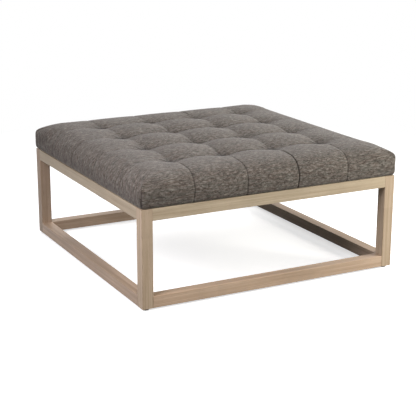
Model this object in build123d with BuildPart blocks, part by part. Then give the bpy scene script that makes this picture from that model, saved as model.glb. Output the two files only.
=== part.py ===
"""Square tufted ottoman on an open timber frame.

The row frame stands on the floor under the middle of the ottoman: +X to the right along the front,
+Y to the back and +Z up, in millimetres. The front faces -Y.
"""

import os
from math import asin, atan2, cos, hypot, pi, sin, sqrt

from build123d import *

os.makedirs("parts", exist_ok=True)

# Timber frame
frame_width = 914.0
frame_depth = 914.0
leg_length = 311.0
stock = 37.0  # square section of every leg and rail
easing = 1.5  # rounding along the edges of the timber

# Tenons on the ends of the rails, mitred where two of them meet inside a leg
tenon_thickness = 12.0
tenon_shoulder = 6.0  # timber of the rail over and under its tenon
mitre_gap = 0.5

# Round glides under the legs, each moulded round the head end of a nail
glide_diameter = 22.0
glide_height = 7.0
glide_bevel = 1.5
nail_diameter = 2.5
nail_length = 24.0
nail_grip = 4.0  # length of the nail inside the glide

# Upholstered top
overhang = 2.0  # how far the sides of the cushion stand out past the frame
foot_tuck = 3.0  # how far the sides draw in where they meet the frame
side_height = 35.0  # straight part of the sides, from the frame up
shoulder_radius = 61.0
crown_height = 118.0  # crown that the pads would reach if they weren't tufted
corner_radius = 14.0
cloth = 1.6
hem_width = 50.0  # how far the cloth turns under the seat board

# Tufting: one pad to each bay of the grid, one tuft at each inner crossing
bays_across = 5
bays_deep = 5
pad_height = 110.0  # top of the pads, from the frame up
tuft_height = 85.0  # bottom of the tufts
pleat_depth = 5.0
pleat_opening = 16.0
pleat_flank = 14.0  # height at which a pleat would be that wide

# Seat board and foam under the cloth and its fibre backing
board_thickness = 18.0
board_corner = 5.0
foam_thickness = 50.0
foam_setback = 16.0  # from the cloth to the side of the foam
foam_bevel = 28.0
foam_corner = 30.0
layer_gap = 0.3  # between one soft layer and the next

# Twines that pull the tufts down, and the square tabs under the board that they are tied to
twine_diameter = 2.4
twine_knot = 5.0
twine_gap = 0.3
tab_side = 18.0
tab_thickness = 1.5
pocket_side = 20.0
pocket_depth = 8.0

# Hexagon head screws up through the corner blocks into the seat board
screw_diameter = 6.0
screw_length = 36.0
screw_head_width = 11.5  # across its corners
screw_head_height = 4.0
screw_from_hem = 13.0  # from the edge of the turned-under cloth in to each screw

# Corner blocks, glued behind the top rails
block_height = 25.0
block_beyond = 22.0  # length of the block past its screw, along each rail
block_flat = 8.0  # small flats that blunt the two sharp ends

# Dust cover under the board, cut to fit between the rails and the corner blocks
dust_cover_thickness = 0.5
dust_cover_gap = 1.5

# Room round anything driven into a hole, on the radius and at its end
fit_gap = 0.15
end_gap = 0.8
overrun = 5.0

# Sides of the thin round pieces inside the ottoman and of their bores
thin_sides = 6

# Levels and faces that follow from the sizes above
leg_foot = glide_height
frame_top = leg_foot + leg_length
top_rail_level = frame_top - stock / 2
bottom_rail_level = leg_foot + stock / 2
leg_x = (frame_width - stock) / 2
leg_y = (frame_depth - stock) / 2
inner_x = frame_width / 2 - stock
inner_y = frame_depth / 2 - stock
cushion_width = frame_width + overhang + overhang
cushion_depth = frame_depth + overhang + overhang
board_level = frame_top + cloth
foam_level = board_level + board_thickness
tenon_height = stock - tenon_shoulder - tenon_shoulder
nail_depth = nail_length - nail_grip + end_gap
tab_level = board_level + pocket_depth - tab_thickness
tuft_level = frame_top + tuft_height - cloth
screw_across = hem_width + screw_from_hem - overhang - stock
block_side = screw_across + screw_across + block_beyond
pitch_x = cushion_width / bays_across
pitch_y = cushion_depth / bays_deep
corners = [(-1, -1), (1, -1), (-1, 1), (1, 1)]


def write(piece, name):
    """Labels one finished piece and writes it to its own file."""
    piece.part.label = name
    export_step(piece.part, f"parts/{name}.step")


def corner_name(side_x, side_y):
    """Words for one corner of the ottoman, such as front_left."""
    return f"{'front' if side_y < 0 else 'back'}_{'left' if side_x < 0 else 'right'}"


def nail_holes():
    """Outlines of the holes for the glide nails, at the bottom ends of the four legs."""
    with BuildSketch(Plane.XY.offset(leg_foot)) as holes:
        with GridLocations(leg_x + leg_x, leg_y + leg_y, 2, 2):
            RegularPolygon(nail_diameter / 2 + fit_gap, thin_sides)
    return holes.sketch


def mortises(side_x, side_y, level):
    """Cuts the two mortises of one level out of a leg; they meet behind the mitred tenons."""
    depth = stock / 2 + tenon_thickness / 2 + end_gap
    width = tenon_thickness + fit_gap + fit_gap
    height = tenon_height + fit_gap + fit_gap
    with Locations((side_x * (inner_x + depth / 2), side_y * leg_y, level)):
        Box(depth, width, height, mode=Mode.SUBTRACT)
    with Locations((side_x * leg_x, side_y * (inner_y + depth / 2), level)):
        Box(width, depth, height, mode=Mode.SUBTRACT)


# Legs
for side_x, side_y in corners:
    with BuildPart() as leg:
        with BuildSketch(Plane.XY.offset(leg_foot)):
            with Locations((side_x * leg_x, side_y * leg_y)):
                RectangleRounded(stock, stock, easing)
        extrude(amount=leg_length)
        mortises(side_x, side_y, bottom_rail_level)
        mortises(side_x, side_y, top_rail_level)
        extrude(nail_holes(), amount=nail_depth, mode=Mode.SUBTRACT)
    write(leg, f"leg_{corner_name(side_x, side_y)}")


# Plans of the tenons: the end of each is cut at 45 degrees, on the diagonal of the leg
def across_tenon(side_x, side_y):
    """Corners of the tenon on a front or back rail where it enters one leg."""
    half = tenon_thickness / 2
    return [
        (side_x * inner_x, side_y * (leg_y - half)),
        (side_x * (leg_x - half - mitre_gap), side_y * (leg_y - half)),
        (side_x * (leg_x + half - mitre_gap), side_y * (leg_y + half)),
        (side_x * inner_x, side_y * (leg_y + half)),
    ]


def along_tenon(side_x, side_y):
    """Corners of the tenon on a side rail where it enters one leg."""
    half = tenon_thickness / 2
    return [
        (side_x * (leg_x - half), side_y * inner_y),
        (side_x * (leg_x - half), side_y * (leg_y - half - mitre_gap)),
        (side_x * (leg_x + half), side_y * (leg_y + half - mitre_gap)),
        (side_x * (leg_x + half), side_y * inner_y),
    ]


# Rails: the front and back pairs run between the legs, and so do the left and right pairs. The glide
# nails run up between the mitred tenons of the bottom rails.
for level, height_name in ((top_rail_level, "top"), (bottom_rail_level, "bottom")):
    for side_y, side_name in ((-1, "front"), (1, "back")):
        with BuildPart() as rail:
            with BuildSketch(Plane.YZ.offset(-inner_x)):
                with Locations((side_y * leg_y, level)):
                    RectangleRounded(stock, stock, easing)
            extrude(amount=inner_x + inner_x)
            with BuildSketch(Plane.XY.offset(level)):
                Polygon(*across_tenon(-1, side_y), align=None)
                Polygon(*across_tenon(1, side_y), align=None)
            extrude(amount=tenon_height / 2, both=True)
            if height_name == "bottom":
                extrude(nail_holes(), amount=nail_depth, mode=Mode.SUBTRACT)
        write(rail, f"{height_name}_rail_{side_name}")

    for side_x, side_name in ((-1, "left"), (1, "right")):
        with BuildPart() as rail:
            with BuildSketch(Plane.XZ.offset(-inner_y)):
                with Locations((side_x * leg_x, level)):
                    RectangleRounded(stock, stock, easing)
            extrude(amount=inner_y + inner_y)
            with BuildSketch(Plane.XY.offset(level)):
                Polygon(*along_tenon(side_x, -1), align=None)
                Polygon(*along_tenon(side_x, 1), align=None)
            extrude(amount=tenon_height / 2, both=True)
            if height_name == "bottom":
                extrude(nail_holes(), amount=nail_depth, mode=Mode.SUBTRACT)
        write(rail, f"{height_name}_rail_{side_name}")

# Glides
for side_x, side_y in corners:
    with BuildPart() as glide:
        with BuildSketch():
            with Locations((side_x * leg_x, side_y * leg_y)):
                Circle(glide_diameter / 2)
        extrude(amount=glide_height)
        chamfer(glide.faces().sort_by(Axis.Z)[0].edges(), glide_bevel)
        with BuildSketch(Plane.XY.offset(glide_height)):
            with Locations((side_x * leg_x, side_y * leg_y)):
                RegularPolygon(nail_diameter / 2 + fit_gap, thin_sides)
        extrude(amount=-nail_grip, mode=Mode.SUBTRACT)
    write(glide, f"glide_{corner_name(side_x, side_y)}")

with BuildPart() as glide_nails:
    with BuildSketch(Plane.XY.offset(glide_height - nail_grip)):
        with GridLocations(leg_x + leg_x, leg_y + leg_y, 2, 2):
            RegularPolygon(nail_diameter / 2, thin_sides)
    extrude(amount=nail_length)
write(glide_nails, "glide_nails")


def screw_plane(side_x, side_y):
    """Head seat of the screw through one corner block, facing down."""
    place = (side_x * (inner_x - screw_across), side_y * (inner_y - screw_across))
    return Plane((*place, frame_top - block_height), z_dir=(0, 0, -1))


# Corner blocks: a triangle in plan with its two sharp ends blunted
for side_x, side_y in corners:
    with BuildPart() as block:
        with BuildSketch(Plane.XY.offset(frame_top)):
            with BuildLine():
                Polyline(
                    (side_x * inner_x, side_y * inner_y),
                    (side_x * (inner_x - block_side), side_y * inner_y),
                    (side_x * (inner_x - block_side), side_y * (inner_y - block_flat)),
                    (side_x * (inner_x - block_flat), side_y * (inner_y - block_side)),
                    (side_x * inner_x, side_y * (inner_y - block_side)),
                    close=True,
                )
            make_face()
        extrude(amount=-block_height)
        with Locations(screw_plane(side_x, side_y)):
            Hole(radius=screw_diameter / 2 + fit_gap)
    write(block, f"corner_block_{corner_name(side_x, side_y)}")

# Screws: a hexagon head under each block and a round shank up into the board
with BuildPart() as one_screw:
    with BuildSketch():
        RegularPolygon(screw_head_width / 2, 6)
    extrude(amount=screw_head_height)
    with BuildSketch():
        Circle(screw_diameter / 2)
    extrude(amount=-screw_length)

with BuildPart() as seat_board_screws:
    for side_x, side_y in corners:
        with Locations(screw_plane(side_x, side_y)):
            add(one_screw.part)
write(seat_board_screws, "seat_board_screws")


def tuft_grid():
    """Places of the tufts, at the inner crossings of the grid of bays."""
    return GridLocations(pitch_x, pitch_y, bays_across - 1, bays_deep - 1)


def twine_holes(level):
    """Outlines of the bores for the twines at one level of the top."""
    with BuildSketch(Plane.XY.offset(level)) as holes:
        with tuft_grid():
            RegularPolygon(twine_diameter / 2 + twine_gap, thin_sides)
    return holes.sketch


def board_outline(room):
    """Outline of the seat board, grown by the room all round."""
    edge = foot_tuck + cloth + pleat_depth + layer_gap - room
    with BuildSketch(Plane.XY.offset(board_level)) as outline:
        RectangleRounded(cushion_width - 2 * edge, cushion_depth - 2 * edge, board_corner + room)
    return outline.sketch


# Seat board: bored for the twines, with a square pocket under each bore for the tab and the knot
with BuildPart() as seat_board:
    extrude(board_outline(0), amount=board_thickness)
    extrude(twine_holes(board_level), amount=board_thickness, mode=Mode.SUBTRACT)
    with BuildSketch(Plane.XY.offset(board_level)):
        with tuft_grid():
            Rectangle(pocket_side, pocket_side)
    extrude(amount=pocket_depth, mode=Mode.SUBTRACT)
    for side_x, side_y in corners:
        with Locations(screw_plane(side_x, side_y)):
            Hole(radius=screw_diameter / 2 + fit_gap, depth=screw_length + end_gap)
write(seat_board, "seat_board")


def foam_block(room):
    """The foam on the board, bevelled along its top edges, grown by the room all round."""
    edge = cloth + layer_gap + foam_setback - room
    with BuildPart() as block:
        with BuildSketch(Plane.XY.offset(foam_level)):
            corner = foam_corner + room
            RectangleRounded(cushion_width - 2 * edge, cushion_depth - 2 * edge, corner)
        extrude(amount=foam_thickness + room)
        chamfer(block.faces().sort_by(Axis.Z)[-1].edges(), foam_bevel)
    return block.part


with BuildPart() as foam_core:
    add(foam_block(0))
    extrude(twine_holes(foam_level), amount=foam_thickness, mode=Mode.SUBTRACT)
write(foam_core, "foam_core")


# Form of the top: two crossing crown sections, a ball-shaped top on each bay, and pleats that run
# from the outer tufts over the shoulder and down the sides
def crown_radius(span):
    """Radius of the long crown arc that runs smoothly into the round shoulders."""
    rise = crown_height - side_height
    centre = span / 2 - shoulder_radius
    return (centre**2 + rise**2 - shoulder_radius**2) / (2 * (rise - shoulder_radius))


def crown_section(span):
    """Section across the cushion: tucked foot, upright side, round shoulder and crown."""
    rise = crown_height - side_height
    shoulder = Vector(span / 2 - shoulder_radius, frame_top + side_height)
    turn = atan2(crown_radius(span) - rise, shoulder.X)
    foot = Vector(span / 2 - foot_tuck, frame_top)
    start = shoulder + Vector(shoulder_radius, 0)
    middle = shoulder + shoulder_radius * Vector(cos(turn / 2), sin(turn / 2))
    end = shoulder + shoulder_radius * Vector(cos(turn), sin(turn))
    with BuildSketch() as section:
        with BuildLine():
            for side in (-1, 1):
                begin = (side * start.X, start.Y)
                TangentArc(begin, (side * foot.X, foot.Y), tangent=(0, -1))
                ThreePointArc(begin, (side * middle.X, middle.Y), (side * end.X, end.Y))
            ThreePointArc((end.X, end.Y), (0, frame_top + crown_height), (-end.X, end.Y))
            Line((foot.X, foot.Y), (-foot.X, foot.Y))
        make_face()
    return section.sketch


def pillows():
    """The bays of the padding, each under a ball-shaped top whose corners reach down to the tufts."""
    dome = pad_height - tuft_height
    half_diagonal = hypot(pitch_x, pitch_y) / 2
    ball = (half_diagonal**2 + dome**2) / (2 * dome)
    with BuildPart() as bay:
        with BuildSketch(Plane.XY.offset(frame_top)):
            Rectangle(pitch_x, pitch_y)
        extrude(amount=crown_height)
        with Locations((0, 0, frame_top + pad_height - ball)):
            Sphere(ball, rotation=(90, 0, -90), mode=Mode.INTERSECT)
    with BuildPart() as bays:
        with GridLocations(pitch_x, pitch_y, bays_across, bays_deep):
            add(bay.part)
    return bays.part


def pleat(span, pitch):
    """Cutter for one pleat: a vee from a tuft out along +X, over the shoulder and down the side."""
    tuft = Vector(span / 2 - pitch, frame_top + tuft_height)
    shoulder = Vector(span / 2 - shoulder_radius, frame_top + side_height)
    reach = shoulder_radius - pleat_depth
    away = shoulder - tuft
    slope = atan2(away.Y, away.X) + asin(reach / away.length)
    run = sqrt(away.length**2 - reach**2)
    middle = (slope + pi / 2) / 2
    over = tuft + Vector(run * cos(slope), run * sin(slope))
    bend = shoulder + Vector(reach * cos(middle), reach * sin(middle))
    side = shoulder + Vector(reach, 0)
    stretch = (side_height + overrun) / side_height
    foot = Vector(side.X - foot_tuck * stretch**2, frame_top - overrun)
    with BuildPart() as cutter:
        with BuildLine(Plane.XZ):
            Line((tuft.X, tuft.Y), (over.X, over.Y))
            ThreePointArc((over.X, over.Y), (bend.X, bend.Y), (side.X, side.Y))
            TangentArc((side.X, side.Y), (foot.X, foot.Y), tangent=(0, -1))
        start = Plane((tuft.X, 0, tuft.Y), x_dir=(0, 1, 0), z_dir=(cos(slope), 0, sin(slope)))
        with BuildSketch(start):
            half = pleat_opening / 2
            Polygon((0, 0), (half, pleat_flank), (-half, pleat_flank), align=None)
        sweep()
    return cutter.part


def padding_form():
    """The upholstered top as one solid body."""
    with BuildPart() as form:
        with BuildSketch(Plane.XZ):
            add(crown_section(cushion_width))
        extrude(amount=cushion_depth, both=True)
        with BuildSketch(Plane.YZ):
            add(crown_section(cushion_depth))
        extrude(amount=cushion_width, both=True, mode=Mode.INTERSECT)
        with BuildSketch(Plane.XY.offset(frame_top)):
            RectangleRounded(cushion_width, cushion_depth, corner_radius)
        extrude(amount=crown_height, mode=Mode.INTERSECT)
        add(pillows(), mode=Mode.INTERSECT)
        across = pleat(cushion_width, pitch_x)
        for place_y in [(n - bays_deep / 2) * pitch_y for n in range(1, bays_deep)]:
            with Locations(Location((0, place_y, 0)), Location((0, place_y, 0), (0, 0, 180))):
                add(across, mode=Mode.SUBTRACT)
        along = pleat(cushion_depth, pitch_y)
        for place_x in [(n - bays_across / 2) * pitch_x for n in range(1, bays_across)]:
            places = [Location((place_x, 0, 0), (0, 0, turn)) for turn in (90, 270)]
            with Locations(*places):
                add(along, mode=Mode.SUBTRACT)
    return form.part


# Tufted cover: one cloth and its fibre backing over the top and sides, turned under the board
with BuildPart() as tufted_cover:
    add(padding_form())
    add(foam_block(layer_gap), mode=Mode.SUBTRACT)
    extrude(board_outline(layer_gap), amount=board_thickness + layer_gap, mode=Mode.SUBTRACT)
    with BuildSketch(Plane.XY.offset(frame_top)):
        Rectangle(cushion_width - 2 * hem_width, cushion_depth - 2 * hem_width)
    extrude(amount=cloth, mode=Mode.SUBTRACT)
    extrude(twine_holes(foam_level), amount=tuft_level - foam_level, mode=Mode.SUBTRACT)
write(tufted_cover, "tufted_cover")

# Tabs in the pockets under the board
with BuildPart() as tuft_tabs:
    with BuildSketch(Plane.XY.offset(tab_level)):
        with tuft_grid():
            Rectangle(tab_side, tab_side)
            RegularPolygon(twine_diameter / 2 + twine_gap, thin_sides, mode=Mode.SUBTRACT)
    extrude(amount=tab_thickness)
write(tuft_tabs, "tuft_tabs")

# Twines from the knots under the tabs up to the tufts
with BuildPart() as tuft_twines:
    with BuildSketch(Plane.XY.offset(tab_level)):
        with tuft_grid():
            RegularPolygon(twine_diameter / 2, thin_sides)
    extrude(amount=tuft_level - layer_gap - tab_level)
    with BuildSketch(Plane.XY.offset(tab_level)):
        with tuft_grid():
            RegularPolygon(twine_knot / 2, thin_sides)
    extrude(amount=-twine_knot)
write(tuft_twines, "tuft_twines")

# Dust cover: thin cloth under the board, its corners cut off along the corner blocks
with BuildPart() as dust_cover:
    edge_x = inner_x - dust_cover_gap
    edge_y = inner_y - dust_cover_gap
    with BuildSketch(Plane.XY.offset(frame_top)) as outline:
        Rectangle(edge_x + edge_x, edge_y + edge_y)
        chamfer(outline.vertices(), block_side + block_flat)
    extrude(amount=-dust_cover_thickness)
write(dust_cover, "dust_cover")
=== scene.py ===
# %% [markdown]
# # A square tufted ottoman
# The real piece is an open frame of limed timber under a thick, blind-tufted top in heathered
# tweed. The frame's timber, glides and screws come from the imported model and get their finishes
# here. The top is soft, so its cloth is made here: shaped, blown up by a simulation, then creased.

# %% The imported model
from contextlib import contextmanager
from math import atan2, copysign, cos, exp, hypot, pi, radians, sin, sqrt

import bmesh
import bpy
import numpy as np
from mathutils import Matrix, Vector, noise


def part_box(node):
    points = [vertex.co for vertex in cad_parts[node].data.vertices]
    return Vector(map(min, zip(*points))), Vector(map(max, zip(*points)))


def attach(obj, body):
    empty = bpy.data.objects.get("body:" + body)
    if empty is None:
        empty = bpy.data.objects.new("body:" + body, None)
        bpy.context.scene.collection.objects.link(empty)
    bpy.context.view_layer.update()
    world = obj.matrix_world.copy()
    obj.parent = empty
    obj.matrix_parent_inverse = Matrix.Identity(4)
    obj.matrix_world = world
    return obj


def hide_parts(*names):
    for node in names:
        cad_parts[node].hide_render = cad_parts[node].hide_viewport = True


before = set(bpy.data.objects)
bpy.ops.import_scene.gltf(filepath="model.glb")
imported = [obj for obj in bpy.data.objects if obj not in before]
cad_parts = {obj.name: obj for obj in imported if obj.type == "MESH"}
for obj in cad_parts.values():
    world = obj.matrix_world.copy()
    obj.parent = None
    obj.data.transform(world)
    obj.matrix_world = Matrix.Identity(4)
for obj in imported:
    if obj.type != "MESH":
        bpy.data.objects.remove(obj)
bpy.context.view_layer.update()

scene = bpy.context.scene
mm = 0.001

# %% [markdown]
# ## Colours and nodes
# Cloth and timber colours are given as sRGB hex values, the way a designer notes them, and
# one function turns them into the linear values that a shader works with. Two more add a node with
# its settings, its values and its links, so that a material reads as a list of steps.


# %% Helpers for the materials
def colour(code):
    """Linear RGBA from an sRGB hex value such as 9A8F80."""
    parts = [int(code[n : n + 2], 16) / 255 for n in (0, 2, 4)]
    return [c / 12.92 if c <= 0.04045 else ((c + 0.055) / 1.055) ** 2.4 for c in parts] + [1.0]


def connect(tree, node, inputs):
    """Gives each input its value, or a link from a socket or from the first output of a node."""
    for key, value in inputs.items():
        if isinstance(value, bpy.types.Node):
            value = value.outputs[0]
        if isinstance(value, bpy.types.NodeSocket):
            tree.links.new(value, node.inputs[key])
        else:
            node.inputs[key].default_value = value


def step(tree, kind, inputs, **settings):
    """Adds a node with its settings and its inputs."""
    node = tree.nodes.new(kind)
    for name, value in settings.items():
        setattr(node, name, value)
    connect(tree, node, inputs)
    return node


def new_material(name, values):
    """A new material, its node tree, and its Principled shader with those values."""
    material = bpy.data.materials.new(name)
    material.use_nodes = True
    shader = material.node_tree.nodes["Principled BSDF"]
    connect(material.node_tree, shader, values)
    return material, material.node_tree, shader


def ramp_stops(node, stops):
    """Sets the stops of a colour ramp, each a position and the hex value of its colour."""
    elements = node.color_ramp.elements
    while len(elements) < len(stops):
        elements.new(0.5)
    for element, (place, code) in zip(elements, stops):
        element.position = place
        element.color = colour(code)


def patterned(tree, shader, pattern, stops, strength, relief):
    """Colours a surface by a pattern, and raises it where the pattern is high."""
    ramp = step(tree, "ShaderNodeValToRGB", {"Fac": pattern})
    ramp_stops(ramp, stops)
    raised = {"Height": pattern, "Strength": strength, "Distance": relief}
    bump = step(tree, "ShaderNodeBump", raised)
    connect(tree, shader, {"Base Color": ramp, "Normal": bump})


def long_noise(tree, place, along, length, width, detail):
    """A noise whose cells are that long along one axis and that wide across it."""
    scale = [1 / width] * 3
    scale["XYZ".index(along)] = 1 / length
    cells = step(tree, "ShaderNodeMapping", {"Vector": place, "Scale": scale})
    inputs = {"Vector": cells, "Scale": 1.0, "Detail": detail}
    return step(tree, "ShaderNodeTexNoise", inputs)


# %% [markdown]
# ## Limed timber
# The frame is a pale close-grained hardwood, limed so that the grain holds a greyish white, then
# lacquered satin. That gives a soft greige colour, fine streaks along each stick and a reflection
# that only shows at a low angle. Every stick was cut from its own board, so each has its own
# material: the streaks follow its length, and its tone is one of three, made lighter or darker by a
# depth. These tones and depths are partly each board's own and partly painted shade, darker and
# warmer for the sticks that stand in shade and lighter for those that are lit. The lengths that a
# stick is jointed from differ a little in tone too.


# %% A material for each stick of limed timber
grain_length = 210 * mm
grain_width = 2.6 * mm
band_length = 520 * mm
band_width = 11 * mm
pore_length = 16 * mm
pore_width = 1.3 * mm  # drawn about three times as wide as real pores, which are too fine to show
clouds_per_metre = 9.0
joint_pitch = 230 * mm
joint_contrast = 0.05
timber_relief = 0.25 * mm


def limed_timber(name, along, tone, depth, seed):
    """Limed hardwood, planed and lacquered satin, with its grain along one axis."""
    material, tree, shader = new_material(name, {"Specular IOR Level": 0.15})
    unmoved = step(tree, "ShaderNodeTexCoord", {}).outputs["Object"]
    shift = (0.37 * seed, 0.53 * seed, 0.71 * seed)
    place = step(tree, "ShaderNodeVectorMath", {0: unmoved, 1: shift}, operation="ADD")
    bands = long_noise(tree, place, along, band_length, band_width, 2.0)
    grain = long_noise(tree, place, along, grain_length, grain_width, 4.0)
    pores = long_noise(tree, place, along, pore_length, pore_width, 1.0)
    clouds = step(
        tree, "ShaderNodeTexNoise", {"Vector": place, "Scale": clouds_per_metre, "Detail": 2.0}
    )
    mixed = step(tree, "ShaderNodeMath", {0: bands, 1: grain}, operation="ADD")
    mean = step(tree, "ShaderNodeMath", {0: mixed, 1: 0.5}, operation="MULTIPLY")
    ramp = step(tree, "ShaderNodeValToRGB", {"Fac": mean})
    ramp_stops(ramp, [(0.36, tone["dark"]), (0.50, tone["middle"]), (0.64, tone["light"])])
    open_pores = step(tree, "ShaderNodeMapRange", {
        "Value": pores, "From Min": 0.60, "From Max": 0.74, "To Min": 0.0, "To Max": 0.35,
    })
    filled = {0: open_pores, 6: ramp, 7: colour(tone["pore"])}
    limed = step(tree, "ShaderNodeMix", filled, data_type="RGBA")
    cloudy = step(tree, "ShaderNodeMapRange", {
        "Value": clouds, "From Min": 0.3, "From Max": 0.7, "To Min": 0.95, "To Max": 1.05,
    })
    lengthwise = step(tree, "ShaderNodeSeparateXYZ", {0: place}).outputs["XYZ".index(along)]
    block = step(tree, "ShaderNodeMath", {0: lengthwise, 1: joint_pitch}, operation="SNAP")
    chance = step(tree, "ShaderNodeTexWhiteNoise", {"W": block}, noise_dimensions="1D")
    # The joined lengths differ a little in tone. The depth then scales the whole stick, partly for
    # its board's own tone and partly as painted shade.
    block_tone_and_shade = step(tree, "ShaderNodeMapRange", {
        "Value": chance,
        "To Min": (1 - joint_contrast) * depth,
        "To Max": (1 + joint_contrast) * depth,
    })
    shade = step(tree, "ShaderNodeMath", {0: cloudy, 1: block_tone_and_shade}, operation="MULTIPLY")
    shaded = {0: limed.outputs[2], "Scale": shade}
    finished = step(tree, "ShaderNodeVectorMath", shaded, operation="SCALE")
    rough = step(tree, "ShaderNodeMapRange", {
        "Value": grain, "From Min": 0.3, "From Max": 0.7, "To Min": 0.36, "To Max": 0.48,
    })
    raised = {"Height": mixed, "Strength": 0.25, "Distance": timber_relief}
    bump = step(tree, "ShaderNodeBump", raised)
    connect(tree, shader, {"Base Color": finished, "Roughness": rough, "Normal": bump})
    return material


# Partly painted shade: the legs and lower rails take the warmer tones that their shaded faces show.
# The sticks at the back and the right bottom rail stand in shade and get the lowest depths, and the
# lit front rails get the highest. The rest is each board's own tone.
greige = {"dark": "AB9981", "middle": "B9A98F", "light": "C7B79F", "pore": "96846D"}
warm = {"dark": "AE987F", "middle": "BDA88E", "light": "CAB69E", "pore": "97826C"}
rosy = {"dark": "AE957E", "middle": "BFA68D", "light": "CDB59D", "pore": "98806B"}
sticks = {
    "leg_front_left": ("Z", warm, 1.0),
    "leg_front_right": ("Z", warm, 1.0),
    "leg_back_left": ("Z", rosy, 0.77),
    "leg_back_right": ("Z", rosy, 0.92),
    "top_rail_front": ("X", greige, 1.08),
    "top_rail_back": ("X", greige, 0.95),
    "top_rail_left": ("Y", greige, 0.93),
    "top_rail_right": ("Y", greige, 0.98),
    "bottom_rail_front": ("X", rosy, 1.07),
    "bottom_rail_back": ("X", rosy, 0.78),
    "bottom_rail_left": ("Y", rosy, 0.92),
    "bottom_rail_right": ("Y", rosy, 0.80),
}


def finish_node(node, material):
    """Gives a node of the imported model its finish."""
    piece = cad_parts[node]
    piece.data.materials.clear()
    piece.data.materials.append(material)


for seed, (node, (along, tone, depth)) in enumerate(sticks.items()):
    name = f"limed timber, {node.replace('_', ' ')}"
    finish_node(node, limed_timber(name, along, tone, depth, seed))
print("sticks of limed timber:", len(sticks))

# %% [markdown]
# ## Glides, screws and the parts under the top
# The glides are moulded nylon, dark brown and dull. The screws and nails are zinc plated, which is
# a soft grey metal. The corner blocks are planed pine that nobody finished, and the seat board is
# sanded plywood.


# %% Plain materials of the hidden and small parts
plain_grain_length = 140 * mm
plain_grain_width = 3.5 * mm
darkest, lightest = 0.35, 0.65  # levels of a noise that show in its darkest and lightest colour


def grained_wood(name, dark, light, roughness):
    """Bare wood with plain grain that runs left and right."""
    material, tree, shader = new_material(name, {"Roughness": roughness})
    place = step(tree, "ShaderNodeTexCoord", {}).outputs["Object"]
    grain = long_noise(tree, place, "X", plain_grain_length, plain_grain_width, 4.0)
    patterned(tree, shader, grain, [(darkest, dark), (lightest, light)], 0.3, 0.2 * mm)
    return material


def speckled(name, dark, light, cell, roughness, metallic=0.0, relief=0.1 * mm):
    """A surface with a fine even mottle: moulded plastic, plated steel, foam, twine or board."""
    values = {"Roughness": roughness, "Metallic": metallic}
    material, tree, shader = new_material(name, values)
    place = step(tree, "ShaderNodeTexCoord", {}).outputs["Object"]
    mottle = step(tree, "ShaderNodeTexNoise", {"Vector": place, "Scale": 1 / cell, "Detail": 3.0})
    patterned(tree, shader, mottle, [(darkest, dark), (lightest, light)], 0.5, relief)
    return material


moulded_nylon = speckled("moulded nylon, dark brown", "1B1714", "2A2420", 1.2 * mm, 0.5)
zinc_plate = speckled("zinc plated steel", "A6A6A2", "C2C2BF", 3 * mm, 0.35, metallic=1.0)
bare_pine = grained_wood("planed pine, bare", "AE9068", "CDB38A", 0.65)
plywood = grained_wood("birch plywood, sanded", "C2A077", "D9BD95", 0.6)
cut_foam = speckled(
    "polyurethane foam, cut", "D6CFA8", "E6E0C2", 1.5 * mm, 0.95, relief=0.6 * mm
)
waxed_twine = speckled("waxed twine, twisted", "B9B3A4", "D8D3C6", 1 * mm, 0.7)
pressed_board = speckled("pressed board tabs", "8A7358", "A38A6B", 2 * mm, 0.85)

for corner in ("front_left", "front_right", "back_left", "back_right"):
    finish_node(f"glide_{corner}", moulded_nylon)
    finish_node(f"corner_block_{corner}", bare_pine)
for node in ("seat_board_screws", "glide_nails"):
    finish_node(node, zinc_plate)
finish_node("seat_board", plywood)
finish_node("foam_core", cut_foam)
finish_node("tuft_twines", waxed_twine)
finish_node("tuft_tabs", pressed_board)

# %% [markdown]
# ## The tweed
# The top is covered in a heathered grey-brown tweed: short slubs of grey, brown and near-black yarn
# that all run one way. The cloth was laid over the top with its slubs along the front, so they run
# level on the front and back and upright on the left and right. The pattern therefore reads a UV
# map that follows the cloth over the edges. A real yarn is under 1 mm thick, too fine to show at
# this distance, so the yarns are drawn 2 mm apart, with slubs about 11 mm long on them.


# %% Tweed
slub_length = 11 * mm
weft_pitch = 2.1 * mm
warp_pitch = 2.6 * mm
cluster_share = 0.45  # how much the slubs gather in clusters, against single yarns
tint_share = 0.20
weave_relief = 0.35 * mm


def streaks(tree, u, v, length, width, shift, detail):
    """A noise of streaks that long and that wide, laid along the weft."""
    across = step(tree, "ShaderNodeMath", {0: v, 1: 1 / width}, operation="MULTIPLY")
    along = step(tree, "ShaderNodeMath", {0: u, 1: 1 / length}, operation="MULTIPLY")
    parts = {0: along, 1: across, 2: shift}
    place = step(tree, "ShaderNodeCombineXYZ", parts)
    inputs = {"Vector": place, "Scale": 1.0, "Detail": detail}
    return step(tree, "ShaderNodeTexNoise", inputs)


def wave_of(tree, value, pitch):
    """A rounded ridge for each yarn at that pitch: 0 between yarns, 1 on top of one."""
    turn = step(tree, "ShaderNodeMath", {0: value, 1: pi / pitch}, operation="MULTIPLY")
    ridge = step(tree, "ShaderNodeMath", {0: turn}, operation="SINE")
    return step(tree, "ShaderNodeMath", {0: ridge}, operation="ABSOLUTE")


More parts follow.
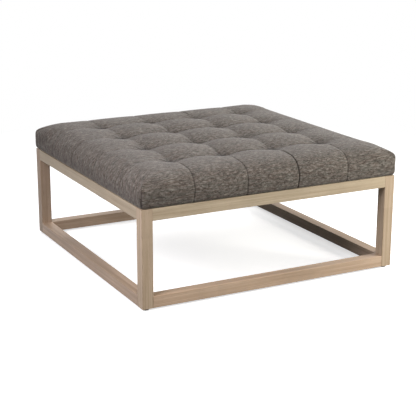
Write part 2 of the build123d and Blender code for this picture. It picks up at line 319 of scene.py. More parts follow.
def tweed():
    """Woven wool tweed, heathered grey-brown, which scatters light softly and has no shine."""
    material, tree, shader = new_material("woven tweed, heathered grey-brown", {
        "Roughness": 0.95, "Sheen Weight": 0.15, "Sheen Roughness": 0.5, "Specular IOR Level": 0.1,
    })
    cloth_place = step(tree, "ShaderNodeUVMap", {}, uv_map="cloth")
    parts = step(tree, "ShaderNodeSeparateXYZ", {0: cloth_place})
    u, v = parts.outputs[0], parts.outputs[1]
    row = step(tree, "ShaderNodeMath", {0: v, 1: weft_pitch}, operation="SNAP")
    yarn = streaks(tree, u, row, slub_length, 0.37 * weft_pitch, 0.0, 2.0)
    cluster = streaks(tree, u, v, 1.3 * slub_length, 2.6 * weft_pitch, 5.3, 2.0)
    flecks = streaks(tree, u, row, 0.5 * slub_length, 0.41 * weft_pitch, 3.1, 1.0)
    hue = streaks(tree, u, row, 3 * slub_length, 2.9 * weft_pitch, 9.2, 2.0)
    gathered = {0: cluster_share, 2: yarn, 3: cluster}
    slubs = step(tree, "ShaderNodeMix", gathered, data_type="FLOAT")
    ramp = step(tree, "ShaderNodeValToRGB", {"Fac": slubs})
    ramp_stops(ramp, [
        (0.34, "423C37"), (0.44, "5A534C"), (0.50, "68615A"), (0.56, "79726A"), (0.66, "968F86"),
    ])
    tint_ramp = step(tree, "ShaderNodeValToRGB", {"Fac": hue})
    ramp_stops(tint_ramp, [(0.38, "6E5C50"), (0.50, "69635B"), (0.62, "5F665E")])
    tinted = step(tree, "ShaderNodeMix", {0: tint_share, 6: ramp, 7: tint_ramp}, data_type="RGBA")
    dark_flecks = step(tree, "ShaderNodeMapRange", {
        "Value": flecks, "From Min": 0.58, "From Max": 0.66, "To Min": 0.0, "To Max": 0.65,
    })
    darkened = {0: dark_flecks, 6: tinted.outputs[2], 7: colour("362F29")}
    flecked = step(tree, "ShaderNodeMix", darkened, data_type="RGBA")
    # Painted shade: a point attribute darkens the tweed towards 241F1B in the pleats, the pits of
    # the tufts and the valleys between the pads, where shade falls.
    crease_shade = step(tree, "ShaderNodeAttribute", {}, attribute_name="crease_shade")
    creased = {0: crease_shade.outputs["Fac"], 6: flecked.outputs[2], 7: colour("241F1B")}
    shaded_in_creases = step(tree, "ShaderNodeMix", creased, data_type="RGBA")
    weft = wave_of(tree, v, weft_pitch)
    half_step = {0: row, 1: 0.5 * warp_pitch / weft_pitch}
    odd = step(tree, "ShaderNodeMath", half_step, operation="MULTIPLY")
    crossing = step(tree, "ShaderNodeMath", {0: u, 1: odd}, operation="ADD")
    warp = wave_of(tree, crossing, warp_pitch)
    woven = step(tree, "ShaderNodeMath", {0: weft, 1: warp}, operation="MULTIPLY")
    relief = step(tree, "ShaderNodeMath", {0: woven, 1: slubs}, operation="ADD")
    raised = {"Height": relief, "Strength": 0.6, "Distance": weave_relief}
    bump = step(tree, "ShaderNodeBump", raised)
    connect(tree, shader, {"Base Color": shaded_in_creases.outputs[2], "Normal": bump})
    return material


heathered_tweed = tweed()

# %% [markdown]
# ## The shape of the top
# Seen from the side, the top has a short upright side, a round shoulder and a long low crown. The
# tufts pull it down on a grid of four by four, so it swells between them into five by five pads. A
# grid of quads is laid over that form, with its lines closest along the rows of tufts, where the
# cloth bends most. It stays one grid down the sides, which lets the UV map follow the cloth.

# %% Sizes of the top
low, high = (Vector(corner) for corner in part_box("tufted_cover"))
half = (high.x - low.x) / 2 + 2 * mm
frame_top = low.z
bays = 5
pitch = (high.x - low.x) / bays
side_height = 35 * mm
shoulder = 61 * mm
crown_height = 119 * mm
pad_height = 112 * mm
tuft_height = 87 * mm
foot_tuck = 3 * mm
foot_round = 9 * mm
corner_radius = 5 * mm
corner_radius_above = 44 * mm
corner_stretch = 105 * mm  # how far from a corner the cloth is pulled tight and square
corner_drop = 12 * mm
swell_room = 1.5 * mm  # the cloth starts this much inside, because the simulation swells it
rise = crown_height - side_height
shoulder_centre = half - shoulder
crown_radius = (shoulder_centre**2 + rise**2 - shoulder**2) / (2 * (rise - shoulder))
shoulder_turn = atan2(crown_radius - rise, shoulder_centre)
rim = shoulder_centre + shoulder * cos(shoulder_turn)
outer_tuft = 1.5 * pitch
print("rim of the crown at", round(rim, 4), "outer tufts at", round(outer_tuft, 4))


# %% [markdown]
# The lines of the grid: each bay between two rows of tufts is cut into cells that are smallest at
# the rows. The outer stretch runs from the last row to the rim of the crown, and its cells are
# small at the rim too, where the folds of the corners are.


# %% Lines of the grid
inner_cells = 28
outer_cells = 20


def crowded(share, crowding):
    """Moves a share from 0 to 1 towards the nearer end."""
    return share - crowding * sin(2 * pi * share) / (2 * pi)


def bay_lines():
    """Places of the grid lines in one direction, from rim to rim."""
    places = []
    for bay in range(bays - 2):
        start = -outer_tuft + bay * pitch
        places += [start + pitch * crowded(n / inner_cells, 0.55) for n in range(inner_cells)]
    places.append(outer_tuft)
    outer = [
        outer_tuft + (rim - outer_tuft) * crowded(n / outer_cells, 0.5)
        for n in range(1, outer_cells + 1)
    ]
    return np.array([-place for place in reversed(outer)] + places + outer)


lines = bay_lines()
count = len(lines)
print("grid lines each way:", count)


# %% [markdown]
# Near its corners the grid is bent to a rounded square, more so the nearer the rim, so that the
# corners of the top are soft above and end in a crisp fold below.


# %% Rounded outlines
straight_part = outer_tuft + 10 * mm


def outline_point(along, outward, reach, radius):
    """Point on a rounded square: how far out, and how far along its side, for one grid place."""
    if abs(along) <= straight_part:
        return reach, along
    straight = reach - radius - straight_part
    length = straight + radius * pi / 4
    spot = (abs(along) - straight_part) / (outward - straight_part) * length
    if spot <= straight:
        return reach, copysign(straight_part + spot, along)
    turn = (spot - straight) / radius
    side = reach - radius + radius * sin(turn)
    return reach - radius + radius * cos(turn), copysign(side, along)


def rounded_square(x, y, outward, reach, radius):
    """Place in plan of a grid place on the square at outward, moved to that reach and rounded."""
    if abs(x) >= abs(y):
        out, side = outline_point(y, outward, reach, radius)
        return copysign(out, x), side
    out, side = outline_point(x, outward, reach, radius)
    return side, copysign(out, y)


def smooth_step(share):
    """Eases from 0 to 1."""
    share = min(max(share, 0.0), 1.0)
    return share * share * (3 - 2 * share)


def corner_share(along):
    """0 along the middle of a side, rising to 1 at its end."""
    return smooth_step((abs(along) - (rim - corner_stretch)) / corner_stretch)


def plan_point(x, y):
    """Place in plan of one grid crossing of the top."""
    outward = max(abs(x), abs(y))
    if outward <= straight_part:
        return x, y
    radius = corner_radius_above * smooth_step((outward - straight_part) / (rim - straight_part))
    radius = min(radius, 0.98 * (outward - straight_part))
    return rounded_square(x, y, outward, outward, radius)


# %% [markdown]
# The height of the cloth: the crown, lowered between the pads. Midway between two tufts it dips
# only part of the way, in a soft valley that sharpens to a crease beside each tuft.


# %% Height of the pads
pad_fullness = 2.25
valley_dip_x, valley_dip_y = 0.40, 0.62
fade_share_x, fade_run_x = 0.85, 95 * mm
fade_share_y, fade_run_y = 0.94, 115 * mm
tuft_pull, pull_reach = 0.58, 36 * mm
crown_squareness = 18.0  # a high power, so that the crown is level along the sides of a square
pad_blend = 6 * mm
gather_height, gather_reach = 1.4 * mm, 14 * mm
lean_height = 2.2 * mm


def crown_at(reach):
    """Height of the untufted crown above the frame."""
    return crown_height - (crown_radius - sqrt(crown_radius**2 - min(reach, rim) ** 2))


def nearest_row(place):
    """Distance from a grid place to the nearest row of tufts."""
    if abs(place) >= outer_tuft:
        return abs(place) - outer_tuft
    offset = (place + outer_tuft) % pitch
    return min(offset, pitch - offset)


def swell(distance, other):
    """Share of the pad's height that far from a row of tufts; the other distance softens it."""
    near = min(distance / (pitch / 2), 1.0)
    far = min(other / (pitch / 2), 1.0)
    soft = 0.02 + 0.06 * far
    share = min(sqrt(near**2 + soft**2), 1.0)
    return 1 - (1 - share) ** pad_fullness


def pad_share(x, y):
    """0 at a tuft, 1 on top of a pad; the valleys fade out between the last tufts and the edges."""
    row_x, row_y = nearest_row(x), nearest_row(y)
    fade_x = 1 - fade_share_x * smooth_step((abs(y) - outer_tuft) / fade_run_x)
    fade_y = 1 - fade_share_y * smooth_step((abs(x) - outer_tuft) / fade_run_y)
    valley_x = (1 - swell(row_x, row_y)) * fade_x
    valley_y = (1 - swell(row_y, row_x)) * fade_y
    return max(1 - (valley_dip_x * valley_x + valley_dip_y * valley_y), 0.0)


def corner_lean(x, y):
    """The padding is a little fuller towards the front right corner and thinner at the opposite."""
    return ((x - y) / (2 * rim)) ** 5


def top_height(x, y, plan):
    """Height of the cloth above the frame at one grid crossing."""
    power = crown_squareness
    reach = (abs(plan[0]) ** power + abs(plan[1]) ** power) ** (1 / power)
    untufted = crown_at(reach) - corner_drop * corner_share(min(abs(x), abs(y))) ** 2
    gap = max(pad_blend - abs(untufted - pad_height), 0.0) / pad_blend
    pad_top = min(untufted, pad_height) - gap * gap * pad_blend / 4
    row_x, row_y = nearest_row(x), nearest_row(y)
    tuft_distance = sqrt(row_x**2 + row_y**2)
    pulled = 1 - tuft_pull * exp(-((tuft_distance / pull_reach) ** 2))
    height = tuft_height + (pad_top - tuft_height) * pad_share(x, y) * pulled
    angle = atan2(row_y, row_x + 1e-9)
    gathers = gather_height * cos(8 * angle + 20 * x + 31 * y)
    gathers *= (tuft_distance / gather_reach) * exp(1 - tuft_distance / gather_reach)
    return height + gathers + lean_height * corner_lean(*plan)


# %% [markdown]
# The rings below the rim: each is a rounded square at one height, round the shoulder, down the
# side, under the foot, and then up inside round the seat board, where it is closed last of all.


# %% Rings from the rim down to the closed inside
shoulder_steps = 15
side_steps = 6
corner_squareness = 2.4
cloth_lift = 0.3 * mm  # the cloth's underside lies this far above the frame
cloth_room = 0.4 * mm  # its inside stands this far off the board and the foam
cloth_thickness = 1 * mm
hem_width = 50 * mm
foam_bevel = 27 * mm


def shoulder_rings():
    """Rings from the rim to the foot: reach, height, corner radius, outward turn, cloth length."""
    rings = []
    for n in range(1, shoulder_steps + 1):
        turn = shoulder_turn * (1 - n / shoulder_steps)
        radius = corner_radius + (corner_radius_above - corner_radius) * sin(turn) ** 5
        rings.append((None, None, radius, turn, shoulder * (shoulder_turn - turn)))
    for n in range(1, side_steps + 1):
        height = side_height - (side_height - foot_round) * n / side_steps
        tuck = foot_tuck * ((side_height - height) / side_height) ** 3
        depth = shoulder * shoulder_turn + side_height - height
        rings.append((half - tuck, height, corner_radius, 0.0, depth))
    return rings


def shoulder_point(turn, corner):
    """Reach and height on the shoulder: a round arc mid-side that squares up towards a corner."""
    power = 2 / (2 + corner_squareness * corner)
    up = sin(turn) / sin(shoulder_turn)
    outer = cos(turn) ** power
    outer -= (cos(shoulder_turn) ** power - cos(shoulder_turn)) * up**8
    upper = up**power * sin(shoulder_turn)
    fall = corner_drop * corner**2 / (shoulder * sin(shoulder_turn))
    return shoulder_centre + shoulder * outer, side_height + shoulder * upper * (1 - fall), upper


def inside_rings():
    """Rings under the foot and up inside, round the board and the foam: reach and height."""
    board = (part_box("seat_board")[1][0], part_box("seat_board")[1][2] - frame_top)
    foam = (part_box("foam_core")[1][0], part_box("foam_core")[1][2] - frame_top)
    foot = half - foot_tuck
    hem = half - hem_width
    board_side, board_top = (place + cloth_room for place in board)
    rounded = [
        (foot - foot_round * (1 - cos(turn)), foot_round - (foot_round - cloth_lift) * sin(turn))
        for turn in (pi / 8, pi / 4, 3 * pi / 8, pi / 2)
    ]
    return rounded + [
        (foot - 20 * mm, cloth_lift),
        (hem, cloth_lift),
        (hem, cloth_lift + cloth_thickness),
        (board_side, cloth_lift + cloth_thickness),
        (board_side, board_top),
        (foam[0] + cloth_room, board_top),
        (foam[0] + cloth_room, foam[1] - foam_bevel),
        (foam[0] - foam_bevel, foam[1] + cloth_room),
    ]


rings = shoulder_rings()
inside = inside_rings()
print("rings outside and inside:", len(rings), len(inside))

# %% [markdown]
# Now the mesh itself. The perimeter of the grid is walked once round, and each ring repeats that
# walk lower down. The faces know which side they are on, which gives them the right UV.


# %% Building the cloth
pleat_hollow = 1.6 * mm
pleat_reach = 9 * mm
side_pleats = 0.35  # the pleats of the left and right are this shallow beside those of the front
inside_spacing = 4 * mm  # cloth between two rings of the inside, where no pattern shows


def perimeter():
    """Grid crossings round the rim, once round, with the side that each stretch is on."""
    last = count - 1
    walk = [(n, 0, "front") for n in range(last)]
    walk += [(last, n, "right") for n in range(last)]
    walk += [(n, last, "back") for n in range(last, 0, -1)]
    walk += [(0, n, "left") for n in range(last, 0, -1)]
    return walk


def pleat_dip(column, row):
    """How far the shoulder and side dip at one perimeter crossing, beside a pleat."""
    x, y = lines[column], lines[row]
    along = y if abs(x) >= abs(y) else x
    distance = nearest_row(along) if abs(along) < outer_tuft + pitch / 2 else pitch / 2
    deep = 1.0 if abs(y) > abs(x) else side_pleats
    broad = (1 - swell(distance, pitch / 2)) * pleat_hollow
    return deep * (broad + pleat_hollow * exp(-distance / pleat_reach))


def grid_faces(count):
    """Quads of a square grid with that many points each way."""
    corners = [row * count + column for row in range(count - 1) for column in range(count - 1)]
    return [(n, n + 1, n + count + 1, n + count) for n in corners]


walk = perimeter()
points = []
cloth_place = []
for row in range(count):
    for column in range(count):
        x, y = lines[column], lines[row]
        plan = plan_point(x, y)
        points.append((plan[0], plan[1], frame_top + top_height(x, y, plan) - swell_room))
        cloth_place.append((x, y))
faces = grid_faces(count)
face_uvs = [[cloth_place[n] for n in face] for face in faces]


def side_uv(column, row, side, depth):
    """Cloth coordinates of a perimeter crossing that far down one side."""
    x, y = lines[column], lines[row]
    return {
        "front": (x, -rim - depth),
        "back": (x, rim + depth),
        "left": (-rim - depth, y),
        "right": (rim + depth, y),
    }[side]


upper = [row * count + column for column, row, side in walk]
upper_depth = 0.0
foot_depth = rings[-1][4]
for reach, height in inside:
    foot_depth += inside_spacing
    rings.append((reach, height, corner_radius, None, foot_depth))
outside_count = 0
for reach, height, radius, turn, depth in rings:
    lower = []
    for column, row, side in walk:
        x, y = lines[column], lines[row]
        spot, level = reach, height
        if reach is None:
            spot, level, share = shoulder_point(turn, corner_share(min(abs(x), abs(y))))
        plan = Vector(rounded_square(x, y, rim, spot, radius))
        if reach is None:
            level += lean_height * share * corner_lean(plan.x, plan.y)
        lift = 0.0
        if turn is not None:
            outward = Vector((x, 0)) if abs(x) >= abs(y) else Vector((0, y))
            dip = pleat_dip(column, row) + swell_room
            fade = smooth_step(level / side_height)
            plan -= outward.normalized() * dip * cos(turn) * fade
            lift = -dip * sin(turn)
        lower.append(len(points))
        points.append((plan.x, plan.y, frame_top + level + lift))
    for n, (column, row, side) in enumerate(walk):
        after = (n + 1) % len(walk)
        next_column, next_row, _ = walk[after]
        faces.append((upper[after], upper[n], lower[n], lower[after]))
        face_uvs.append([
            side_uv(next_column, next_row, side, upper_depth),
            side_uv(column, row, side, upper_depth),
            side_uv(column, row, side, depth),
            side_uv(next_column, next_row, side, depth),
        ])
    upper, upper_depth = lower, depth
    if turn is not None:
        outside_count = len(points)
print("cloth points and faces:", len(points), len(faces))


# %% Cloth object with its UV map
def new_object(name, data):
    """A new object of that mesh, lamp or camera, in the scene."""
    piece = bpy.data.objects.new(name, data)
    scene.collection.objects.link(piece)
    return piece


@contextmanager
def edited(mesh):
    """Opens a mesh for changes, then writes it back with all of its faces shaded smooth."""
    work = bmesh.new()
    work.from_mesh(mesh)
    yield work
    work.to_mesh(mesh)
    work.free()
    mesh.polygons.foreach_set("use_smooth", [True] * len(mesh.polygons))


def cloth_object(name, points, faces, face_uvs):
    """A mesh piece with the cloth UV map and outward faces."""
    mesh = bpy.data.meshes.new(name)
    mesh.from_pydata(points, [], faces)
    layer = mesh.uv_layers.new(name="cloth")
    for polygon, places in zip(mesh.polygons, face_uvs):
        for loop, place in zip(polygon.loop_indices, places):
            layer.data[loop].uv = place
    with edited(mesh) as work:
        bmesh.ops.recalc_face_normals(work, faces=work.faces)
    return new_object(name, mesh)


tufted_top = cloth_object("tufted_top", points, faces, face_uvs)

# %% [markdown]
# ## Filling the top
# A real top gets its look from padding that pushes against cloth held at the tufts, along the
# pleats and at the foot. Blender's Cloth does the same with pressure: the held points are pinned,
# gravity is off, and a few frames are enough to swell the pads. The result is written into the
# mesh, with a cap on how far a point may have moved.


# %% Pins
pins = tufted_top.vertex_groups.new(name="held by stitches")
tuft_hold = 5 * mm
pleat_hold = 4 * mm
pleat_grip = 0.6  # a pleat's stitches give a little
for index, (x, y) in enumerate(cloth_place):
    row_x, row_y = nearest_row(x), nearest_row(y)
    distance = sqrt(row_x**2 + row_y**2)
    if distance < tuft_hold:
        pins.add([index], 1.0, "REPLACE")
    elif min(row_x, row_y) < pleat_hold:
        pins.add([index], pleat_grip, "REPLACE")
foot_rings = 3
pins.add(list(range(outside_count - foot_rings * len(walk), len(points))), 1.0, "REPLACE")


# %% Simulation
swell_frames = 20
swell_cap = 12 * mm
filling = {
    "quality": 6,
    "mass": 0.25,
    "tension_stiffness": 12,
    "compression_stiffness": 12,
    "shear_stiffness": 6,
    "bending_stiffness": 0.4,
    "use_pressure": True,
    "uniform_pressure_force": 4,
    "vertex_group_mass": pins.name,
    "pin_stiffness": 1.0,
}


def swell_cloth(piece, frames, cap):
    """Runs the cloth under pressure and writes the result into the mesh."""
    before = np.empty(len(piece.data.vertices) * 3)
    piece.data.vertices.foreach_get("co", before)
    cloth = piece.modifiers.new("filling", "CLOTH")
    for name, value in filling.items():
        setattr(cloth.settings, name, value)
    cloth.settings.effector_weights.gravity = 0
    cloth.point_cache.frame_start = 1
    cloth.point_cache.frame_end = frames
    for number in range(1, frames + 1):
        scene.frame_set(number)
    evaluated = piece.evaluated_get(bpy.context.evaluated_depsgraph_get())
    after = np.empty_like(before)
    evaluated.data.vertices.foreach_get("co", after)
    piece.modifiers.remove(cloth)
    move = (after - before).reshape(-1, 3)
    length = np.linalg.norm(move, axis=1)
    move *= np.minimum(1.0, cap / np.maximum(length, 1e-9))[:, None]
    piece.data.vertices.foreach_set("co", before + move.ravel())
    piece.data.update()
    scene.frame_set(1)
    print("cloth moved at most", round(length.max() / mm, 1), "mm")


swell_cloth(tufted_top, swell_frames, swell_cap)

# %% [markdown]
# ## Pleats and creases
# One subdivision makes the cloth fine enough for its sharp details. From each outer tuft a pleat
# runs out over the shoulder and down the side, folded flat and held by blind stitches, so it shows
# as a thin dark line between two soft lips: a shallow groove, darkened with painted shade. The
# vertical corners are folded too, and the pits of the tufts and the valleys between the pads get
# painted shade as well.


# %% Subdivision
def apply_modifiers(piece):
    """Replaces the mesh of a piece by its evaluated copy."""
    graph = bpy.context.evaluated_depsgraph_get()
    mesh = bpy.data.meshes.new_from_object(
        piece.evaluated_get(graph), preserve_all_data_layers=True, depsgraph=graph
    )
    piece.modifiers.clear()
    piece.data = mesh


finer = tufted_top.modifiers.new("finer", "SUBSURF")
finer.levels = finer.render_levels = 1
apply_modifiers(tufted_top)
print("tufted top:", len(tufted_top.data.polygons), "faces")


# %% Closing the inside
def close_inside(mesh):
    """Closes the open edge under the padding with triangles round one point."""
    with edited(mesh) as work:
        edges = [edge for edge in work.edges if edge.is_boundary]
        middle = work.verts.new((0.0, 0.0, edges[0].verts[0].co.z))
        for edge in edges:
            work.faces.new((*edge.verts, middle))
        bmesh.ops.recalc_face_normals(work, faces=work.faces)


close_inside(tufted_top.data)

# %% Creases
crease_width = 1.8 * mm
crease_depth = 3.0 * mm
corner_width, corner_rise = 3.2 * mm, 45 * mm
front_gap, side_gap = 25 * mm, 45 * mm  # from the outer tufts to where the pleats begin
pleat_fade = 60 * mm
front_wander, side_wander = 0.8 * mm, 2.5 * mm  # how far a pleat strays from a straight line
foot_shift = -10 * mm  # the front pleats lean this far to one side by the time they reach the foot
lean_start = 98 * mm
pull_start = 80 * mm  # below about this height all the front pleats are pulled more alike
front_pulls = (0.72, 0.72, 1.0, 0.62)  # how hard each pleat is pulled, from left to right
side_pull = 0.22
pit_radius = 25 * mm
valley_width = 4 * mm
valley_depth = 1.8 * mm
valley_run = 30 * mm  # how far the valleys go on past the outer tufts, and over what they fade
valley_fade = 40 * mm
lengthwise_valleys = 0.4  # those that run from front to back are this shallow beside the others
# How dark the painted shade is in a pleat, in the pit of a tuft, at the core of a pit and in a
# valley.
pleat_shade, pit_shade, pit_core_shade, valley_shade = 0.9, 0.62, 0.33, 0.3


def pleat_share(along, outward, gap, width):
    """1 in the middle of a pleat, and 0 beside it and above where it begins."""
    begun = smooth_step((abs(outward) - outer_tuft - gap) / pleat_fade)
    return begun * exp(-((nearest_row(along) / width) ** 2))


def corner_fold(place, height):
    """The cloth is folded under itself at each corner, in a short line that fades as it rises."""
    edge = half - foot_tuck
    distance = hypot(abs(place.x) - edge, abs(place.y) - edge)
    return smooth_step(1.6 - height / corner_rise) * exp(-((distance / corner_width) ** 2))


def valley_share(row, beside):
    """1 at the bottom of a valley between two tufts, and 0 well past the outer tufts."""
    fade = smooth_step((outer_tuft + valley_run - abs(beside)) / valley_fade)
    return exp(-((row / valley_width) ** 2)) * fade


def crease_amount(place):
    """How deep a point lies in a pleat, in the pit of a tuft and in a valley, from 0 to 1; the same
    amounts set its painted shade.
    """
    height = place.z - frame_top
    if height < 1 * mm:
        return 0.0, 0.0, 0.0
    corner, pleat = corner_fold(place, height), 0.0
    if abs(place.y) > outer_tuft and abs(place.x) < outer_tuft + pitch / 2:
        lean = foot_shift * max(1 - height / lean_start, 0) ** 1.2
        wave = front_wander * sin(height * 90 + place.x * 17)
        share = pleat_share(place.x - lean + wave, place.y, front_gap, crease_width)
        pull = front_pulls[min(max(int(place.x // pitch) + 2, 0), 3)]
        below = smooth_step(1.4 - height / pull_start)
        pleat = share * pull * (pull + (1 - pull) * below)
    elif abs(place.x) > outer_tuft and abs(place.y) < outer_tuft + pitch / 2:
        wave = side_wander * sin(height * 60 + place.y * 13)
        pleat = side_pull * pleat_share(place.y + wave, place.x, side_gap, 2 * crease_width)
    pit = valley = 0.0
    if max(abs(place.x), abs(place.y)) < outer_tuft + 50 * mm:
        row_x, row_y = nearest_row(place.x), nearest_row(place.y)
        pit = exp(-((row_x**2 + row_y**2) / pit_radius**2))
        lengthwise = lengthwise_valleys * valley_share(row_x, place.y)
        valley = max(lengthwise, valley_share(row_y, place.x))
    return max(pleat, corner), pit, valley


mesh = tufted_top.data
# Painted shade: each point gets a darkening for its pleat, pit or valley in a point attribute that
# the tweed reads, and pleats and valleys are also pressed in as grooves.
painted_crease_shade = mesh.attributes.new("crease_shade", "FLOAT", "POINT")
normals = [vertex.normal.copy() for vertex in mesh.vertices]
for vertex, normal in zip(mesh.vertices, normals):
    pleat, pit, valley = crease_amount(vertex.co)
    pit_shade_amount = pit_shade * pit + pit_core_shade * pit**5
    painted_crease_shade.data[vertex.index].value = max(
        pleat_shade * pleat, pit_shade_amount, valley_shade * valley
    )
    vertex.co -= normal * (crease_depth * pleat + valley_depth * valley * (1 - pit))
mesh.update()
mesh.materials.append(heathered_tweed)
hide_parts("tufted_cover")
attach(tufted_top, "root")

# %% [markdown]
# ## The dust cover
# Under the board lies a thin black non-woven cloth, stapled along its edges, that keeps the dust
# out. It hangs a few millimetres between its staples.


# %% Dust cover
cover_low, cover_high = (Vector(corner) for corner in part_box("dust_cover"))
cover_cut = 78 * mm
cover_sag = 3.5 * mm
cover_thickness = 0.4 * mm
dimple_pitch = 4 * mm


def non_woven():
    """Black spun-bonded cloth: matte, with a fine pressed dimple pattern."""
    material, tree, shader = new_material("spun-bonded cloth, black", {"Roughness": 0.8})
    place = step(tree, "ShaderNodeTexCoord", {}).outputs["Object"]
    dimples = step(tree, "ShaderNodeTexVoronoi", {"Vector": place, "Scale": 1 / dimple_pitch})
    patterned(tree, shader, dimples, [(0.0, "121110"), (0.8, "1F1E1D")], 0.5, 0.2 * mm)
    return material


def dust_cloth():
    """The dust cover as a sheet with its corners cut off, sagging a little."""
    cells = 60
    width = cover_high.x - cover_low.x
    points = []
    for row in range(cells + 1):
        for column in range(cells + 1):
            x = cover_low.x + width * column / cells
            y = cover_low.y + width * row / cells
            edge = min(cover_high.x - abs(x), cover_high.y - abs(y))
            edge = min(edge, (width - cover_cut - abs(x) - abs(y)) / sqrt(2))
            sag = cover_sag * smooth_step(edge / (200 * mm))
            ripple = 0.5 * mm * sin(x * 95) * exp(-abs(edge) / (40 * mm))
            ripple += 0.4 * mm * noise.noise(Vector((x * 12, y * 12, 0)))
            points.append((x, y, cover_low.z - sag + ripple * smooth_step(edge / (12 * mm))))
    mesh = bpy.data.meshes.new("dust_cloth")
    mesh.from_pydata(points, [], grid_faces(cells + 1))
    cut = (width - cover_cut) / 2
    with edited(mesh) as work:
        for x, y in ((1, 1), (-1, 1), (-1, -1), (1, -1)):
            bmesh.ops.bisect_plane(
                work,
                geom=work.verts[:] + work.edges[:] + work.faces[:],
                plane_co=(x * cut, y * cut, cover_low.z),
                plane_no=(x, y, 0),
                clear_outer=True,
            )
    mesh.materials.append(non_woven())
    piece = new_object("dust_cloth", mesh)
    thicken = piece.modifiers.new("thickness", "SOLIDIFY")
    thicken.thickness = cover_thickness
    thicken.offset = 1.0
    apply_modifiers(piece)
    return piece, width


dust_sheet, dust_width = dust_cloth()
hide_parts("dust_cover")
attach(dust_sheet, "root")

# %% [markdown]
# ## Staples
# A pneumatic stapler fixes the dust cover to the board in one row along its edge. Each staple has
# a flat crown and two legs, and no two are quite in line. Things that repeat along a path suit
# Geometry Nodes: the path is resampled at the staple's spacing, one staple is placed on each point
# along the path's direction, and each gets a small turn of its own.


# %% Staples along the edge of the dust cover
def node_group(name, inputs):
    """An empty geometry node group with named number inputs beside its geometry."""
    tree = bpy.data.node_groups.new(name, "GeometryNodeTree")
    tree.interface.new_socket("Geometry", in_out="INPUT", socket_type="NodeSocketGeometry")
    for label, kind in inputs.items():
        tree.interface.new_socket(label, in_out="INPUT", socket_type=kind)
    tree.interface.new_socket("Geometry", in_out="OUTPUT", socket_type="NodeSocketGeometry")
    return tree, step(tree, "NodeGroupInput", {}), step(tree, "NodeGroupOutput", {})


def staple_row():
    """Places staples along a path, with the sizes, turn, seed and finish of one as its inputs."""
    sizes = {name: "NodeSocketFloat" for name in ("Spacing", "Crown", "Wire", "Leg", "Turn")}
    tree, given, result = node_group(
        "staple row", {**sizes, "Seed": "NodeSocketInt", "Finish": "NodeSocketMaterial"}
    )
    path, spacing, crown_width, wire, leg_length, most, seed, finish = given.outputs[:8]
    curve = step(tree, "GeometryNodeMeshToCurve", {"Mesh": path})
    places = step(
        tree, "GeometryNodeResampleCurve", {"Curve": curve, "Length": spacing}, mode="LENGTH"
    )
    crown_size = step(tree, "ShaderNodeCombineXYZ", {0: crown_width, 1: wire, 2: wire})
    crown = step(tree, "GeometryNodeMeshCube", {"Size": crown_size})
    leg_size = step(tree, "ShaderNodeCombineXYZ", {0: wire, 1: wire, 2: leg_length})
    leg = step(tree, "GeometryNodeMeshCube", {"Size": leg_size})
    side = step(tree, "ShaderNodeMath", {0: crown_width, 1: wire}, operation="SUBTRACT")
    half_leg = step(tree, "ShaderNodeMath", {0: leg_length, 1: 0.5}, operation="MULTIPLY")
    parts = [crown]
    for share in (-0.5, 0.5):
        out = step(tree, "ShaderNodeMath", {0: side, 1: share}, operation="MULTIPLY")
        offset = step(tree, "ShaderNodeCombineXYZ", {0: out, 2: half_leg})
        parts.append(step(tree, "GeometryNodeTransform", {"Geometry": leg, "Translation": offset}))
    staple = step(tree, "GeometryNodeJoinGeometry", {})
    for part in parts:
        connect(tree, staple, {0: part})
    tangent = step(tree, "GeometryNodeInputTangent", {})
    heading = step(
        tree, "FunctionNodeAlignEulerToVector", {"Vector": tangent}, axis="X", pivot_axis="Z"
    )
    least = step(tree, "ShaderNodeMath", {0: most, 1: -1.0}, operation="MULTIPLY")
    turn = step(
        tree, "FunctionNodeRandomValue", {2: least, 3: most, "Seed": seed}, data_type="FLOAT"
    )
    about = step(tree, "ShaderNodeCombineXYZ", {2: turn.outputs[1]})
    rotation = step(tree, "ShaderNodeVectorMath", {0: heading, 1: about}, operation="ADD")
    given_places = {"Points": places, "Instance": staple, "Rotation": rotation}
    placed = step(tree, "GeometryNodeInstanceOnPoints", given_places)
    real = step(tree, "GeometryNodeRealizeInstances", {"Geometry": placed})
    finished = step(tree, "GeometryNodeSetMaterial", {"Geometry": real, "Material": finish})
    connect(tree, result, {0: finished})
    return tree


def row_of_staples(name, corners, values):
    """A closed path through the corners, turned into a plain mesh of staples."""
    mesh = bpy.data.meshes.new(name)
    mesh.from_pydata(corners, [(n, (n + 1) % len(corners)) for n in range(len(corners))], [])
    piece = new_object(name, mesh)
    row = piece.modifiers.new("staples", "NODES")
    row.node_group = staple_row()
    for item in row.node_group.interface.items_tree:
        if item.in_out == "INPUT" and item.name in values:
            row[item.identifier] = values[item.name]
    apply_modifiers(piece)
    return piece


from_edge = 5 * mm
wire = 0.8 * mm
faces_per_staple = 18
row_reach = cover_high.x - from_edge
row_cut = row_reach - cover_cut - 1 * mm
row_height = cover_low.z - wire / 2
corners = []
for swing in range(4):
    for x, y in ((row_cut, -row_reach), (row_reach, -row_cut)):
        for _ in range(swing):
            x, y = -y, x
        corners.append((x, y, row_height))
staples = row_of_staples("dust_cover_staples", corners, {
    "Spacing": 42 * mm,
    "Crown": 10 * mm,
    "Wire": wire,
    "Leg": 2.2 * mm,
    "Turn": radians(7),
    "Seed": 11,
    "Finish": zinc_plate,
})
print("staples:", len(staples.data.polygons) // faces_per_staple)
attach(staples, "root")

# %% [markdown]
# ## Floor, light and camera
# The photograph has a plain white surround and soft light from above. The floor and the surround
# are white to the camera, and reflect less light onto the object than they show. The camera stands
# where the straight edges of the frame in the photograph say it stood.


# %% Floor and surround
floor_glow = 0.62
shadow_reach, white_reach = 0.9, 2.2  # the shadow fades between these distances from the middle
floor_reach = 8.0
world_light = 0.10


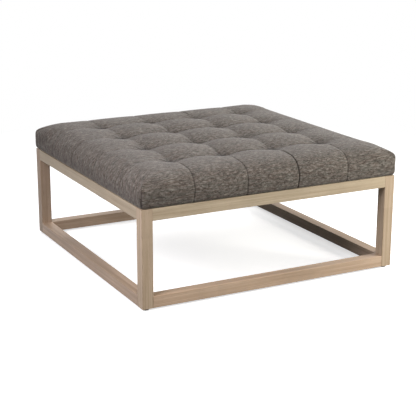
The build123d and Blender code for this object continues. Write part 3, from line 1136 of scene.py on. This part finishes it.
def seen_directly(tree):
    """1 for camera, glossy and transmission rays, and 0 for the rays that only carry light."""
    path = step(tree, "ShaderNodeLightPath", {}).outputs
    rays = {0: path["Is Camera Ray"], 1: path["Is Glossy Ray"]}
    seen = step(tree, "ShaderNodeMath", rays, operation="MAXIMUM")
    rays = {0: seen, 1: path["Is Transmission Ray"]}
    return step(tree, "ShaderNodeMath", rays, operation="MAXIMUM")


def floor_material():
    """Pale floor that keeps the object's shadow."""
    material, tree, shader = new_material("pale floor", {})
    seen = step(tree, "ShaderNodeBsdfDiffuse", {"Color": (0.9, 0.9, 0.9, 1)})
    glow = step(tree, "ShaderNodeEmission", {"Color": (1, 1, 1, 1), "Strength": floor_glow})
    near = step(tree, "ShaderNodeAddShader", {0: seen, 1: glow})
    white = step(tree, "ShaderNodeEmission", {"Color": (1, 1, 1, 1), "Strength": 1.0})
    place = step(tree, "ShaderNodeTexCoord", {}).outputs["Object"]
    distance = step(tree, "ShaderNodeVectorMath", {0: place}, operation="LENGTH")
    far = step(tree, "ShaderNodeMapRange", {
        "Value": distance.outputs["Value"], "From Min": shadow_reach, "From Max": white_reach,
    })
    bright = step(tree, "ShaderNodeMixShader", {0: far, 1: near, 2: white})
    dim = step(tree, "ShaderNodeBsdfDiffuse", {"Color": (0.08, 0.08, 0.08, 1)})
    mix = step(tree, "ShaderNodeMixShader", {0: seen_directly(tree), 1: dim, 2: bright})
    connect(tree, tree.nodes["Material Output"], {"Surface": mix})
    tree.nodes.remove(shader)
    return material


floor_mesh = bpy.data.meshes.new("floor")
edge_signs = ((-1, -1), (1, -1), (1, 1), (-1, 1))
floor_corners = [(x * floor_reach, y * floor_reach, 0) for x, y in edge_signs]
floor_mesh.from_pydata(floor_corners, [], [(0, 1, 2, 3)])
floor_mesh.materials.append(floor_material())
floor = new_object("floor", floor_mesh)

world = bpy.data.worlds.new("surround")
scene.world = world
world.use_nodes = True
tree = world.node_tree
strength = step(tree, "ShaderNodeMapRange", {
    "Value": seen_directly(tree), "To Min": world_light, "To Max": 1.0,
})
connect(tree, tree.nodes["Background"], {"Strength": strength, "Color": (1, 1, 1, 1)})


# %% Lamps
def soft_lamp(name, place, target, size, power, tint):
    """A square lamp of that size in metres and power in watts, aimed at a point."""
    data = bpy.data.lights.new(name, "AREA")
    data.shape = "SQUARE"
    data.size = size
    data.energy = power
    data.color = colour(tint)[:3]
    lamp = new_object(name, data)
    lamp.location = place
    lamp.rotation_euler = (Vector(target) - Vector(place)).to_track_quat("-Z", "Y").to_euler()


soft_lamp("overhead", (0.5, 1.9, 2.6), (0, 0, 0.3), 1.8, 58, "FBFCFF")
soft_lamp("from the left", (-1.7, -0.85, 1.3), (-0.3, -0.2, 0.25), 0.8, 30, "FBF6FC")
soft_lamp("from the front right", (2.05, -1.55, 0.9), (0.3, -0.2, 0.25), 1.1, 79, "FFFCF6")

# %% Camera
camera_place = Vector((-1.759, -3.341, 1.234))
azimuth = radians(27.83)
elevation = radians(16.03)
roll = radians(0.19)
focal_pixels = 1125
picture_pixels = 416
camera_data = bpy.data.cameras.new("camera")
camera_data.sensor_fit = "HORIZONTAL"
camera_data.sensor_width = 36
camera_data.lens = focal_pixels / picture_pixels * camera_data.sensor_width
camera = new_object("camera", camera_data)
forward = Vector((sin(azimuth) * cos(elevation), cos(azimuth) * cos(elevation), -sin(elevation)))
rightward = Vector((cos(azimuth), -sin(azimuth), 0))
upward = rightward.cross(forward)
rightward, upward = (
    rightward * cos(roll) + upward * sin(roll),
    upward * cos(roll) - rightward * sin(roll),
)
camera.matrix_world = Matrix((
    (rightward.x, upward.x, -forward.x, camera_place.x),
    (rightward.y, upward.y, -forward.y, camera_place.y),
    (rightward.z, upward.z, -forward.z, camera_place.z),
    (0, 0, 0, 1),
))
scene.camera = camera
scene.view_settings.view_transform = "Standard"
